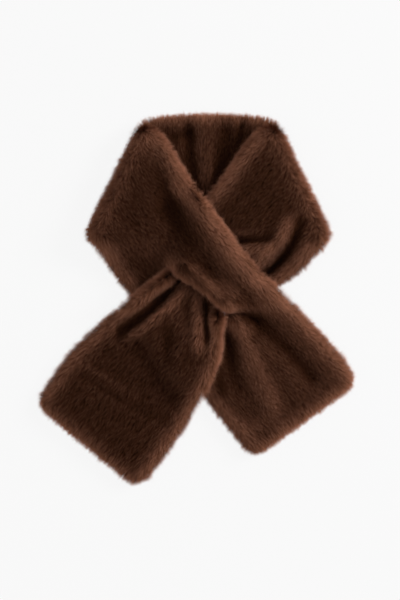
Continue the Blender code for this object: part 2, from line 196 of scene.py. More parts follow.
def pileFinish():
    fur = Finish("pile")
    place = fur.node("UVMap", {"uv_map": "OFBake"}, {})
    tone = fur.node("SeparateXYZ", {}, {"Vector": place}, output=0)
    alongHair = fur.node("SeparateXYZ", {}, {"Vector": place}, output=1)
    dark = fur.node("ValToRGB", {"stops": pileLook["darkHair"]}, {"Fac": alongHair})
    light = fur.node("ValToRGB", {"stops": pileLook["lightHair"]}, {"Fac": alongHair})
    # the tone, which carries painted light and shade, picks between the dark and the light hair
    # colours
    fur.set("Base Color", fur.mixed(tone, dark, light))
    fur.set("Roughness", pileLook["roughness"])
    fur.set("Specular IOR Level", pileLook["gloss"])
    return fur.material


backingLook = {
    "loopColour": (0.020, 0.0095, 0.006, 1.0),
    "hollowShade": (0.012, 0.0055, 0.0035, 1.0),
    "loopScale": 900.0,
    "loopDetail": 2.0,
    "loopHeight": 0.0004,
    "loopStrength": 0.5,
    "roughness": 0.95,
    "gloss": 0.0,
}


def backingFinish():
    look = backingLook
    knit = Finish("backing")
    place = knit.node("TexCoord", {}, {}, output=3)
    grain = {"Vector": place, "Scale": look["loopScale"], "Detail": look["loopDetail"]}
    loops = knit.node("TexNoise", {}, grain)
    # the knit is darker in the hollows between its loops: painted shade
    shadedHollows = 1.0 - loops
    knit.set("Base Color", knit.mixed(shadedHollows, look["loopColour"], look["hollowShade"]))
    height = look["loopHeight"] * loops
    bump = {"Height": height, "Distance": 1.0, "Strength": look["loopStrength"]}
    knit.set("Normal", knit.node("Bump", {}, bump))
    knit.set("Roughness", look["roughness"])
    knit.set("Specular IOR Level", look["gloss"])
    return knit.material


# the cloth: each length of the strip is grown from its solids, drawn in by the depth of
# the pile, and parted again into its stretches, each a double-walled tube of knit backing

cloth = {
    "lengths": {
        "neck": ("neck_back",),
        "slitSide": ("left_front", "strap_over", "strap_under", "right_tail"),
        "pulled": ("right_front", "left_tail"),
    },
    "seams": (
        ("slitSide", "left_front", "strap_over"),
        ("slitSide", "strap_over", "right_tail"),
        ("pulled", "right_front", "left_tail"),
    ),
    "seamReach": 0.0006,  # how near the solids of two stretches come at their seam
    "seamMerge": 0.0002,
    "cornerMerge": 0.00001,
    "grow": 0.0005,  # so that solids a seam apart meet
    "cell": 0.0030,
    "wall": 0.0012,
    "lowest": 0.0015,
    "pileDepth": 0.0058,
    "thinShare": 0.36,  # most of its thickness that the pile takes on one side
    "farthest": 0.080,  # thicker than the tube is anywhere
    "skin": 0.0002,  # how far inside the surface a thickness is measured from
    "touching": 0.0035,  # this near to other cloth or the table, the pile is pressed flat
    "facesTable": -0.3,  # how far down a surface faces that the table can press
    "pressedDepth": 0.0012,
    "leastInside": 0.0030,  # what is left of the tube's thickness in a crease
    # rounds of evening out, of the grown cloth, of the pile's depth, of the cloth that is
    # drawn in, and of what is blended into it
    "relaxRounds": 2,
    "depthRounds": 4,
    "settleRounds": 1,
    "blendRounds": 3,
    "bendRounds": 14,  # how widely a ridge or hollow is measured
    "evenRounds": 50,  # how widely a slope is measured that the pile lies level on
    "evenShare": 0.7,
    "evenFacing": (0.6, 0.9),  # how far up a slope faces to have none and all of that
    "upperSide": (-0.25, 0.25),  # how far up a surface faces to take none and all of a fold
    "rimFacing": 0.5,  # a surface that faces up or down less than this is a rim
    # the two side folds, start, end and upper length, where the strip turns over: the upper
    # layer's edge runs on down to the table, and the neck stretch ends inside it
    "turnOvers": (
        ((-0.1214, 0.0675), (-0.0605, 0.1935), "slitSide"),
        ((0.1466, 0.0673), (0.0865, 0.1937), "pulled"),
    ),
    "turnDrop": 0.0135,
    "turnHeights": (0.024, 0.017),  # cloth above the first stays, and below the second drops
    "turnTuck": 0.0090,
    "turnReach": 0.0120,
    "turnStart": 0.0090,  # how far it runs on past the fold's lower end
    "turnEnd": 0.0060,  # and how far short of the upper end it fades out
    # where a thin rim is ironed smooth once it is drawn in: x, y and radius
    "ironed": ((-0.0030, 0.1150, 0.024), (0.0324, 0.1287, 0.010)),
    "ironPower": 4.0,  # how sharply that ends
    "ironRounds": 14,
    "rimIron": 0.5,  # share of it along every rim
    "rimIronFacing": (0.65, 0.15),  # how far up or down a rim faces to have none and all
    # where the cloth keeps its full reach, x, y, radius and share: at both ends of the slit,
    # so that it stays shut, and at the upper ends of the side folds
    "fullReach": (
        (-0.0165, 0.0315, 0.016, 0.85),
        (0.0365, -0.0165, 0.014, 0.85),
        (-0.0560, 0.1840, 0.014, 0.50),
        (0.0830, 0.1860, 0.014, 0.50),
    ),
}

# the folds that show, in millimetres: from x1, y1 to x2, y2, bowed to the left at the
# middle by bow, with a half width, and a height at each end; a crease is negative
perMetre = 1000.0
folds = {
    "neck": (
        (-7.0, 182.0, -3.0, 112.0, 0.0, 8.0, -2.5, -3.0),
        (3.0, 186.0, 7.0, 118.0, 0.0, 7.0, 2.0, 2.0),
        (32.0, 176.0, 26.0, 120.0, 0.0, 10.0, -3.0, -4.0),
        (48.0, 186.0, 46.0, 158.0, 0.0, 4.5, -4.0, -4.0),
        (-24.0, 171.0, -6.0, 173.0, 1.0, 5.0, -2.0, -3.0),
    ),
    "slitSide": (
        (-53.0, 172.0, -34.0, 102.0, 6.0, 12.0, -2.0, -3.0),
        (-34.0, 102.0, 10.0, 40.0, 0.0, 12.0, -3.0, -2.5),
        (2.0, 20.0, 32.0, -5.0, 2.0, 7.0, 1.5, 1.5),
        (26.0, -13.5, 62.0, -19.0, 3.0, 5.0, -11.0, -5.0),
        (64.0, -22.0, 120.0, -80.0, 2.0, 10.0, -2.5, -3.5),
        (30.0, -26.0, 42.0, -92.0, -3.0, 9.0, -4.0, -2.0),
        (46.0, -28.0, 80.0, -112.0, -4.0, 9.0, 3.0, 2.5),
    ),
    "pulled": (
        (44.0, 64.5, 82.0, 68.5, -1.0, 5.5, -6.5, -2.5),
        (48.0, 52.0, 78.0, 55.0, 2.0, 6.0, 3.0, 3.0),
        (68.0, 38.0, 98.0, 84.0, -5.0, 6.0, 4.5, 1.5),
        (74.0, 29.0, 114.0, 84.0, -6.5, 5.0, -10.0, -4.0),
        (-24.0, 35.0, -98.0, -24.0, 0.0, 7.0, 3.0, 2.0),
        (-15.0, 27.0, -80.0, -32.0, 4.0, 6.0, -10.0, -5.0),
        (-12.0, 18.0, -70.0, -37.0, 3.0, 4.5, 3.0, 2.5),
        (10.5, -2.0, 13.0, -41.0, 1.5, 7.0, -5.0, -4.0),
        (3.0, 0.0, 2.0, -52.0, 0.0, 5.0, 3.0, 2.0),
        (22.0, -18.0, 24.0, -62.0, 0.0, 5.0, 3.0, 1.5),
        (-30.0, -34.0, -26.0, -66.0, 0.0, 7.0, -2.5, -1.0),
        (-136.0, -60.0, -66.0, -104.0, 0.0, 3.0, 1.2, 1.0),
        (-118.0, -80.0, -30.0, -131.0, 0.0, 5.0, -1.6, -1.2),
    ),
}

# painted light and painted shade on the pile: rows that raise the tone are bands of painted light,
# rows that lower it are painted shade and painted shadow, in rows of the same kind, with the change
# of tone at each end
paintedShading = {
    "neck": (
        (2.0, 190.0, 7.0, 120.0, 0.0, 7.0, 0.08, 0.08),
        (-7.0, 182.0, -3.0, 112.0, 0.0, 6.0, -0.08, -0.08),
        (-23.0, 171.0, -6.0, 173.0, 0.0, 6.0, -0.08, -0.08),
        (47.0, 192.0, 46.0, 160.0, 0.0, 5.0, -0.12, -0.15),
        (32.0, 176.0, 26.0, 120.0, 0.0, 10.0, -0.06, -0.08),
        (-32.0, 172.0, 8.0, 104.0, 0.0, 9.0, -0.10, -0.10),
        (64.0, 182.0, 12.0, 106.0, 0.0, 8.0, -0.10, -0.10),
        (-60.0, 184.0, -46.0, 181.0, 0.0, 6.0, 0.28, 0.20),
        (78.0, 186.0, 92.0, 181.0, 0.0, 6.0, 0.20, 0.28),
    ),
    "slitSide": (
        (-62.0, 184.0, -46.0, 181.0, 0.0, 6.0, 0.40, 0.30),
        (-52.0, 176.0, 64.0, 24.0, 0.0, 15.0, 0.36, 0.46),
        (48.0, 36.0, 92.0, -12.0, 0.0, 14.0, 0.15, 0.05),
        (8.0, 60.0, 40.0, 14.0, 0.0, 10.0, 0.08, 0.12),
        (-53.0, 172.0, -34.0, 102.0, 6.0, 10.0, -0.05, -0.06),
        (-34.0, 102.0, 10.0, 40.0, 0.0, 11.0, -0.06, -0.05),
        (-82.0, 92.0, -34.0, 42.0, 0.0, 16.0, 0.02, 0.07),
        (-36.0, 34.0, -67.0, 6.0, 0.0, 6.0, -0.10, -0.10),
        (22.0, 14.0, 38.0, 6.0, 2.0, 9.0, 0.16, 0.10),
        (30.0, -17.0, 54.0, -20.0, 0.0, 6.0, -0.35, -0.25),
        (32.0, -4.0, 42.0, -6.0, 0.0, 8.0, -0.36, -0.40),
        (-16.0, 31.0, 6.0, 13.0, 0.0, 8.0, -0.75, -0.52),
        (16.0, 8.0, 26.0, 2.0, 0.0, 8.0, -0.14, -0.10),
        (-18.0, 45.0, -10.0, 41.0, 0.0, 8.0, -0.22, -0.22),
        (-22.0, 120.0, 8.0, 98.0, 0.0, 9.0, 0.30, 0.38),
        (32.0, 72.0, 44.0, 52.0, 0.0, 7.0, -0.30, -0.16),
        (-36.0, 168.0, -28.0, 156.0, 0.0, 8.0, -0.20, -0.10),
        (-17.0, 151.0, -12.0, 144.0, 0.0, 6.0, -0.30, -0.20),
        (50.0, -26.0, 60.0, -40.0, 0.0, 8.0, -0.26, -0.20),
        (52.0, 44.0, 66.0, 22.0, 0.0, 9.0, 0.16, 0.20),
        (16.0, -74.0, 24.0, -98.0, 0.0, 9.0, -0.34, -0.30),
        (34.0, -108.0, 56.0, -132.0, 0.0, 9.0, -0.10, -0.10),
        (40.0, -136.0, 88.0, -130.0, 0.0, 9.0, 0.14, 0.14),
        (54.0, -4.0, 66.0, -22.0, 0.0, 8.0, -0.16, -0.12),
        (52.0, -40.0, 80.0, -112.0, -4.0, 11.0, 0.12, 0.16),
        (62.0, -22.0, 120.0, -80.0, 2.0, 12.0, -0.08, -0.06),
        (30.0, -26.0, 44.0, -96.0, -3.0, 10.0, -0.08, -0.05),
    ),
    "pulled": (
        (76.0, 186.0, 94.0, 181.0, 0.0, 6.0, 0.30, 0.40),
        (64.0, 180.0, 14.0, 108.0, 6.0, 10.0, 0.16, 0.02),
        (68.0, 38.0, 98.0, 84.0, -5.0, 8.0, 0.52, 0.26),
        (52.0, 54.0, 78.0, 54.0, 0.0, 7.0, 0.22, 0.32),
        (74.0, 29.0, 114.0, 84.0, -6.5, 8.0, -0.26, -0.14),
        (56.0, 50.0, 76.0, 42.0, 0.0, 9.0, 0.16, 0.22),
        (104.0, 22.0, 134.0, 50.0, 0.0, 8.0, -0.34, -0.28),
        (43.0, 61.5, 80.0, 65.5, -1.0, 6.0, -0.16, -0.06),
        (-24.0, 36.0, -98.0, -22.0, 0.0, 6.0, 0.16, 0.10),
        (-15.0, 27.0, -80.0, -32.0, 4.0, 7.0, -0.42, -0.26),
        (-12.0, 16.0, -68.0, -38.0, 3.0, 6.0, 0.46, 0.16),
        (2.5, 6.0, 2.0, -52.0, 0.0, 7.0, 0.80, 0.20),
        (-24.0, -4.0, -10.0, -38.0, 0.0, 9.0, 0.22, 0.14),
        (15.0, -62.0, 20.0, -82.0, 0.0, 7.0, -0.12, -0.20),
        (-13.0, 29.0, -17.0, 24.0, 0.0, 5.0, -0.30, -0.30),
        (-52.0, 22.0, -28.0, 34.0, 0.0, 6.0, 0.16, 0.20),
        (-22.0, 14.0, -6.0, 8.0, 0.0, 10.0, 0.12, 0.12),
        (10.5, -2.0, 13.0, -41.0, 1.5, 5.5, -0.30, -0.20),
        (23.0, -18.0, 26.0, -64.0, 0.0, 6.0, 0.28, 0.22),
        (-30.0, -34.0, -28.0, -66.0, 0.0, 8.0, -0.05, -0.03),
        (-136.0, -60.0, -66.0, -103.0, 0.0, 3.0, 0.10, 0.06),
        (-120.0, -79.0, -30.0, -131.0, 0.0, 5.0, -0.05, -0.04),
        (-112.0, -96.0, -60.0, -124.0, 0.0, 4.0, 0.05, 0.02),
    ),
}


def rowSum(rows, points, power=2.0):
    # the sum at each point of rows that run from one place to another
    total = np.zeros(len(points))
    for x1, y1, x2, y2, bow, halfWidth, value1, value2 in rows:
        run = np.array([x2 - x1, y2 - y1])
        span = np.hypot(*run)
        place = points[:, :2] * perMetre - (x1, y1)
        t = np.clip(place @ run / span**2, 0.0, 1.0)
        aside = bow * 4.0 * t * (1.0 - t)  # which is all of bow at the middle
        line = t[:, None] * run + aside[:, None] * np.array([-run[1], run[0]]) / span
        away = np.linalg.norm(place - line, axis=1) / halfWidth
        total += (value1 + (value2 - value1) * t) * np.exp(-(away**power))
    return total


def foldHeights(name, points):
    return rowSum(folds[name], points) / perMetre


def rising(values, noneAt, fullAt):
    # 0 where the values are noneAt or beyond it, 1 where they are fullAt, and even between
    return np.clip((values - noneAt) / (fullAt - noneAt), 0.0, 1.0)


def nearness(points, x, y, radius, power=2.0):
    # 1 at x, y as seen from above, and less and less about a radius away
    away = np.hypot(points[:, 0] - x, points[:, 1] - y) / radius
    return np.exp(-(away**power))


def unit(vectors):
    return vectors / np.maximum(np.linalg.norm(vectors, axis=1, keepdims=True), 1e-9)


def arrays(mesh):
    points = np.empty(len(mesh.vertices) * 3, np.float32)
    mesh.vertices.foreach_get("co", points)
    return points.reshape(-1, 3).astype(float)


def setPoints(mesh, points):
    mesh.vertices.foreach_set("co", points.astype(np.float32).ravel())
    mesh.update()


def vertexNormals(mesh):
    return np.array([vert.normal for vert in mesh.vertices])


def faceIndices(mesh):
    return [tuple(face.vertices) for face in mesh.polygons]


def meshEdges(mesh):
    edges = np.empty(len(mesh.edges) * 2, np.int32)
    mesh.edges.foreach_get("vertices", edges)
    return edges.reshape(-1, 2)


def meshTree(*meshes):
    points = []
    faces = []
    for mesh in meshes:
        start = len(points)
        points += arrays(mesh).tolist()
        faces += [tuple(start + i for i in face) for face in faceIndices(mesh)]
    return BVHTree.FromPolygons(points, faces)


def pointTree(points):
    tree = KDTree(len(points))
    for i, point in enumerate(points):
        tree.insert(point, i)
    tree.balance()
    return tree


def relaxed(values, edges, rounds, strength=0.5):
    count = np.bincount(edges.ravel(), minlength=len(values)).astype(float)
    for _ in range(rounds):
        total = np.zeros_like(values)
        for axis in range(values.shape[1]):
            total[:, axis] += np.bincount(edges[:, 0], values[edges[:, 1], axis], len(values))
            total[:, axis] += np.bincount(edges[:, 1], values[edges[:, 0], axis], len(values))
        values = values + strength * (total / count[:, None] - values)
    return values


def addField(mesh, name, values):
    if values.ndim == 1:
        field = mesh.attributes.new(name, "FLOAT", "POINT")
        field.data.foreach_set("value", values.astype(np.float32))
    else:
        field = mesh.attributes.new(name, "FLOAT_VECTOR", "POINT")
        field.data.foreach_set("vector", values.astype(np.float32).ravel())


def fieldOf(mesh, name):
    field = mesh.attributes[name]
    if field.data_type == "FLOAT":
        values = np.empty(len(mesh.vertices), np.float32)
        field.data.foreach_get("value", values)
        return values.astype(float)
    values = np.empty(len(mesh.vertices) * 3, np.float32)
    field.data.foreach_get("vector", values)
    return values.reshape(-1, 3).astype(float)


def outerBody(name, nodes):
    # the outside of one length of the strip, in even cells
    shape = bmesh.new()
    for node in nodes:
        shape.from_mesh(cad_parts[node].data)
    bmesh.ops.remove_doubles(shape, verts=shape.verts, dist=cloth["cornerMerge"])
    shape.normal_update()
    for vert in shape.verts:
        vert.co += vert.normal * cloth["grow"]
    mesh = bpy.data.meshes.new(name + "Rough")
    shape.to_mesh(mesh)
    shape.free()
    rough = newObject(name + "Rough", mesh)
    remesh = rough.modifiers.new("even", "REMESH")
    remesh.mode = "VOXEL"
    remesh.voxel_size = cloth["cell"]
    graph = bpy.context.evaluated_depsgraph_get()
    even = bpy.data.meshes.new_from_object(rough.evaluated_get(graph))
    bpy.data.objects.remove(rough)
    setPoints(even, relaxed(arrays(even), meshEdges(even), cloth["relaxRounds"]))
    return even


def pressed(point, normal, others):
    # whether other cloth or the table lies against this place
    reach = cloth["touching"]
    if normal.z < cloth["facesTable"] and point.z < -normal.z * reach:
        return True
    start = point - normal * cloth["grow"]
    return any(tree.ray_cast(start, normal, reach)[0] is not None for tree in others)


def pileDepths(mesh, points, normals, others):
    # how deep the backing lies under each point, and how thick the whole tube is there
    tree = meshTree(mesh)
    depth = np.empty((len(points), 1))
    through = np.full(len(points), cloth["farthest"])
    for i, (place, outward) in enumerate(zip(points, normals)):
        point = Vector(place)
        normal = Vector(outward)
        hit = tree.ray_cast(point - normal * cloth["skin"], -normal, cloth["farthest"])
        if hit[0] is not None:
            through[i] = hit[3]
        if pressed(point, normal, others):
            depth[i] = cloth["pressedDepth"] + cloth["grow"]
        else:
            depth[i] = min(cloth["pileDepth"] + cloth["grow"], cloth["thinShare"] * through[i])
    return depth, through


def turnShare(points, reach, upper=None):
    # how much of a side fold each point belongs to, and the way in from it
    share = np.zeros(len(points))
    inward = np.zeros((len(points), 3))
    for start, end, length in cloth["turnOvers"]:
        if upper and upper != length:
            continue
        run = np.subtract(end, start)
        span = np.hypot(*run)
        across = np.array([-run[1], run[0]]) / span
        if across[1] > 0:
            across = -across
        place = points[:, :2] - start
        along = place @ run / span
        ends = np.minimum(along + cloth["turnStart"], span - along - cloth["turnEnd"])
        here = rising(ends, 0.0, cloth["turnReach"]) * rising(place @ across, reach, 0.0)
        inward[here > 0, :2] = across
        share = np.maximum(share, here)
    return share, inward


def turnedOver(name, points):
    # the points once the strip's edges at the side folds are tucked in or turned down
    if name == "neck":
        share, inward = turnShare(points, cloth["turnReach"])
        return points + inward * (share * cloth["turnTuck"])[:, None]
    share = turnShare(points, cloth["turnReach"], name)[0]
    low = rising(points[:, 2], *cloth["turnHeights"])
    return points - np.outer(share * low * cloth["turnDrop"], upwards)


def recordOutside(mesh, points, normals, edges):
    # keeps, for the pile, the outside's bends and slope and how far each point is from a rim
    setPoints(mesh, points)
    outside = vertexNormals(mesh)
    level = relaxed(points, edges, cloth["bendRounds"])
    addField(mesh, "bend", np.sum((points - level) * outside, axis=1))
    coarse = relaxed(outside, edges, cloth["evenRounds"])
    broad = rising(coarse[:, 2:], *cloth["evenFacing"]) * cloth["evenShare"]
    addField(mesh, "outside", unit(outside - (coarse - upwards) * broad))
    flat = points * (1.0, 1.0, 0.0)
    rim = pointTree(flat[np.abs(normals[:, 2]) < cloth["rimFacing"]])
    addField(mesh, "fromEdge", np.array([rim.find(point)[2] for point in flat]))


def drawIn(name, mesh, others):
    # moves the outside of the pile in to its backing
    edges = meshEdges(mesh)
    points = arrays(mesh)
    normals = vertexNormals(mesh)
    depth, through = pileDepths(mesh, points, normals, others)
    free = np.ones((len(points), 1))
    if name != "neck":
        for x, y, radius, full in cloth["fullReach"]:
            free *= 1.0 - full * nearness(points, x, y, radius)[:, None]
    depth = relaxed(depth * free, edges, cloth["depthRounds"])
    drawnIn = relaxed(points - normals * depth, edges, cloth["settleRounds"])

    rounds = cloth["blendRounds"]
    points = points + relaxed(turnedOver(name, points) - points, edges, rounds)
    drawnIn = drawnIn + relaxed(turnedOver(name, drawnIn) - drawnIn, edges, rounds)
    ironed = rising(np.abs(normals[:, 2]), *cloth["rimIronFacing"]) * cloth["rimIron"]
    for place in cloth["ironed"]:
        ironed = np.maximum(ironed, nearness(drawnIn, *place, cloth["ironPower"]))
    smooth = relaxed(drawnIn, edges, cloth["ironRounds"])
    drawnIn = drawnIn + (smooth - drawnIn) * relaxed(ironed[:, None], edges, rounds) * free

    fold = foldHeights(name, points)
    recordOutside(mesh, points + np.outer(fold, upwards), normals, edges)

    # a crease goes as deep as it likes, and takes the under side with it where it must
    inside = through - depth[:, 0] - cloth["pileDepth"]
    room = np.maximum(inside - cloth["leastInside"], 0)
    under = np.minimum(fold + room, 0)
    share = rising(normals[:, 2], *cloth["upperSide"])
    drawnIn[:, 2] += fold * share + under * (1 - share)
    drawnIn[:, 2] = np.maximum(drawnIn[:, 2], cloth["lowest"])
    setPoints(mesh, drawnIn)


def seamPlane(first, second):
    # the upright plane where two stretches of one length meet
    firstPoints = arrays(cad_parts[first].data)
    secondPoints = arrays(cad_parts[second].data)
    tree = pointTree(secondPoints)
    near = np.array([p for p in firstPoints if tree.find(p)[2] < cloth["seamReach"]])
    middle = near.mean(axis=0)
    alongSeam = np.linalg.svd(near[:, :2] - middle[:2])[2][0]
    normal = np.array([-alongSeam[1], alongSeam[0], 0.0])
    if normal @ (secondPoints.mean(axis=0) - firstPoints.mean(axis=0)) < 0:
        normal = -normal
    return middle, normal


def partedCloth(name, mesh, nodes):
    # cuts a length at its seams, and gives each stretch the faces nearest its solid
    shape = bmesh.new()
    shape.from_mesh(mesh)
    planes = [seamPlane(a, b) for body, a, b in cloth["seams"] if body == name]
    for middle, normal in planes:
        geometry = shape.verts[:] + shape.edges[:] + shape.faces[:]
        bmesh.ops.bisect_plane(
            shape, geom=geometry, plane_co=middle, plane_no=normal, dist=cloth["seamMerge"]
        )
    shape.faces.index_update()
    trees = {node: meshTree(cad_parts[node].data) for node in nodes}
    zones = [nodes[:1], nodes[-1:]]
    if len(planes) == 2:
        zones.insert(1, nodes[1:-1])
    owner = {}
    for face in shape.faces:
        centre = face.calc_center_median()
        past = sum((np.array(centre) - middle) @ normal > 0 for middle, normal in planes)
        owner[face.index] = min(zones[past], key=lambda node: trees[node].find_nearest(centre)[3])
    parts = {}
    for node in nodes:
        part = shape.copy()
        away = [face for face in part.faces if owner[face.index] != node]
        bmesh.ops.delete(part, geom=away, context="FACES")
        bmesh.ops.triangulate(part, faces=part.faces[:])
        parts[node] = part
    shape.free()
    return parts


def camel(node):
    first, *rest = node.split("_")
    return first + "".join(word.capitalize() for word in rest)


def clothPiece(node, shape, material):
    mesh = bpy.data.meshes.new(camel(node) + "Cloth")
    shape.to_mesh(mesh)
    mesh.materials.append(material)
    mesh.shade_smooth()
    piece = newObject(camel(node) + "Cloth", mesh)
    wall = piece.modifiers.new("wall", "SOLIDIFY")
    wall.thickness = cloth["wall"]
    wall.offset = -1.0
    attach(piece, "root")
    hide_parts(node)
    return piece


# where the pile can stand: how open the space over each point of the cloth is

openness = {
    "reach": 0.030,
    "lift": 0.0006,  # height over the cloth from which that is looked at
    "tilts": (0.0, 35.0, 65.0),
    "turns": 6,
    "hidden": 0.10,  # less open than this, and no pile shows
    "full": 0.45,
    "edgeExtra": 1.2,  # how much denser the pile is on an upright side
    "tucked": (0.5, 0.75),  # share of a side fold from which the neck's pile thins, and ends
}


def rayDirections():
    rays = []
    for tilt in openness["tilts"]:
        turns = openness["turns"] if tilt else 1
        high = math.radians(tilt)
        for step in range(turns):
            turn = 2 * math.pi * (step + tilt / 90.0) / turns
            out = Vector((math.cos(turn), math.sin(turn), 0.0)) * math.sin(high)
            rays.append(out + Vector((0.0, 0.0, math.cos(high))))
    return rays


def opennessOf(points, normals, tree):
    rays = rayDirections()
    share = np.empty(len(points))
    for i, (point, normal) in enumerate(zip(points, normals)):
        start = Vector(point) + Vector(normal) * openness["lift"]
        turned = Vector(normal).to_track_quat("Z", "Y")
        clear = 0
        for ray in rays:
            direction = turned @ ray
            if direction.z < 0 and start.z < -direction.z * openness["reach"]:
                continue
            if tree.ray_cast(start, direction, openness["reach"])[0] is None:
                clear += 1
        share[i] = clear / len(rays)
    return share


class Drift:
    # smooth noise over space, the same each run
    cells = 32

    def __init__(self, seed, wave):
        size = (self.cells, self.cells, self.cells)
        self.values = np.random.default_rng(seed).uniform(-1.0, 1.0, size)
        self.wave = wave

    def at(self, points):
        place = points / self.wave
        cell = np.floor(place).astype(int)
        share = place - cell
        share = share * share * (3.0 - 2.0 * share)
        total = np.zeros(len(points))
        for corner in np.ndindex(2, 2, 2):
            i, j, k = ((cell + corner) % self.cells).T
            weight = np.prod(np.where(corner, share, 1.0 - share), axis=1)
            total += weight * self.values[i, j, k]
        return total


# the pile: hairs rooted on the cloth, each a narrow blade

pile = {
    "length": 0.0092,
    "lengthSpread": 0.22,
    "halfWidth": 0.00012,
    "widths": (0.7, 1.3),
    "lean": 44.0,  # degrees from upright
    "leanSpread": 8.0,
    "sideLean": 20.0,  # and on an upright side
    "sideTilts": (30.0, 75.0),  # tilts at which an upright side starts and is full
    # the upper ends of the side folds, x, y and radius, where the pile lies flatter
    "flatCorners": ((-0.0560, 0.1850, 0.014), (0.0830, 0.1870, 0.014)),
    "cornerLean": 16.0,
    "edgeTurn": 75.0,  # degrees from straight out that the pile may lie at a side fold
    "sweepReach": 0.022,
    "turnSpread": 10.0,
    "roll": 60.0,
    "ragged": 0.22,  # how uneven its length is on an upright side
    "raggedWave": 0.0022,
    "lockSize": 7,  # hairs that keep together
    "lockStretch": 2.6,  # how much longer than wide a lock's footprint is
    "lockPull": 0.28,
    "lockLoose": 0.8,  # share of that which an upright side loses
    "lockLooseTilt": 60.0,
    # how much of a hair's chance is its own, and how much its lock's
    "turnShares": (0.6, 0.8),
    "leanShares": (0.7, 0.7),
    "lengthShares": (0.7, 0.5),
    "napBlend": 0.020,  # how softly the nap turns from one direction to the next
    "swirlWave": 0.030,
    "swirl": 8.0,
    "ripple": 3.0,
    "rippleWave": 0.006,
    "droop": 0.25,
    "droopFacing": (0.7, -0.3),  # how far up a hair points to droop not at all and fully
    "splay": 0.7,  # how far the pile follows the outside's slope, not the backing's
    "level": 0.6,  # how far it stays upright on the slopes of a fold
    "levelFrom": (0.006, 0.018),  # distances from a rim at which that starts and is full
    "rooted": 0.0012,  # depth at which a hair starts inside the backing
    "litBySurface": 0.6,
    "litFromAbove": 0.6,
    "creaseFull": 0.008,  # depth of a crease in which the pile is shortest
    "creaseLength": 0.45,
    "creaseStand": 1.5,  # how much more it stands up there, and leaves the crease open
    "floorGap": 0.0003,
    "toneWidth": 0.01,  # half of what a hair's root takes in of the scale of tones
    "colourRun": (0.02, 0.98),  # where the root and the tip are on the scale of colours
}

# how light the hairs are painted: flat pile gets painted shade, and where it turns over an edge or
# a ridge, on slopes and on raised folds it gets painted light; creases and shut-in places get
# painted shade, and random grain goes on top
shade = {
    # painted light where the pile faces sideways
    "slope": 0.25,
    "slopeFull": 60.0,  # degrees of tilt
    # painted rim light near every rim
    "edge": 0.80,
    "turnedEdge": 0.36,  # painted rim light is less at the side folds, where the pile lies along the edge
    "edgeWidth": 0.0125,
    "ridge": 100.0,  # painted highlight for each metre that the cloth stands above its surroundings, painted shade where it lies below
    "leastBend": 0.0008,
    # painted shade in creases and painted light on raised folds
    "fold": 25.0,
    "paintedShadingPower": 3.0,
    "seenAt": 0.65,  # how far up a hair the painted light and shade is worked out, which is what shows
    # painted shade where the pile is shut in by other cloth
    "shutInShade": 0.14,
    "lockNoise": 0.13,
    "hairNoise": 0.16,
    "darkNoise": 0.5,  # share of the noise that dark hairs keep
    "patchNoise": 0.03,
    "patchWave": 0.0040,
    "ends": (0.03, 0.97),  # the darkest and the lightest tone
}

# each stretch's tone is how light its pile is painted, lighter or darker from stretch to stretch as
# painted light and shade
# nap rows are x, y and the direction in which the hair lies, in degrees from +X
stretches = {
    "neck_back": {
        "length": "neck",
        "tone": 0.06,
        "hairs": 104000,
        "nap": (
            (-0.09, 0.15, 165.0), (-0.02, 0.19, 100.0), (0.014, 0.14, 90.0),
            (0.05, 0.19, 80.0), (0.117, 0.15, 15.0),
        ),
    },
    "left_front": {
        "length": "slitSide",
        "tone": 0.05,
        "hairs": 168000,
        "nap": ((-0.09, 0.13, -52.0), (-0.02, 0.04, -54.0)),
    },
    "strap_over": {
        "length": "slitSide",
        "tone": 0.09,
        "hairs": 66000,
        "nap": ((-0.01, 0.03, -54.0), (0.05, 0.02, -50.0)),
    },
    "strap_under": {
        "length": "slitSide",
        "tone": 0.1,
        "hairs": 6000,
        "nap": ((0.0, 0.0, -54.0),),
    },
    "right_tail": {
        "length": "slitSide",
        "tone": 0.165,
        "hairs": 156000,
        "nap": ((0.04, -0.02, -56.0), (0.12, -0.13, -50.0), (0.15, -0.08, -46.0)),
    },
    "right_front": {
        "length": "pulled",
        "tone": 0.045,
        "hairs": 148000,
        "nap": ((0.10, 0.12, -130.0), (0.06, 0.05, -136.0), (0.11, 0.08, -128.0)),
    },
    "left_tail": {
        "length": "pulled",
        "tone": 0.055,
        "hairs": 185000,
        "nap": (
            (-0.10, -0.03, -140.0), (-0.02, -0.03, -122.0), (0.02, -0.06, -100.0),
            (-0.09, -0.14, -126.0),
        ),
    },
}


def turnedAbout(vectors, axes, angles):
    # each vector turned about its own axis
    cosine = np.cos(angles)[:, None]
    sine = np.sin(angles)[:, None]
    along = axes * np.sum(vectors * axes, axis=1, keepdims=True)
    return along + (vectors - along) * cosine + np.cross(axes, vectors) * sine


def napDirections(points, rows):
    total = np.zeros((len(points), 3))
    for x, y, degrees in rows:
        away = (points[:, 0] - x) ** 2 + (points[:, 1] - y) ** 2 + pile["napBlend"] ** 2
        heading = math.radians(degrees)
        total[:, 0] += math.cos(heading) / away
        total[:, 1] += math.sin(heading) / away
    return unit(total)


def sweptAlong(nap, outward, share):
    # at a side fold, which the nap runs away from, the pile turns to lie along the fold
    between = np.arctan2(
        nap[:, 0] * outward[:, 1] - nap[:, 1] * outward[:, 0],
        nap[:, 0] * outward[:, 0] + nap[:, 1] * outward[:, 1],
    )
    tooFar = np.maximum(np.abs(between) - math.radians(pile["edgeTurn"]), 0)
    upright = np.tile(upwards, (len(nap), 1))
    return turnedAbout(nap, upright, np.sign(between) * tooFar * share)


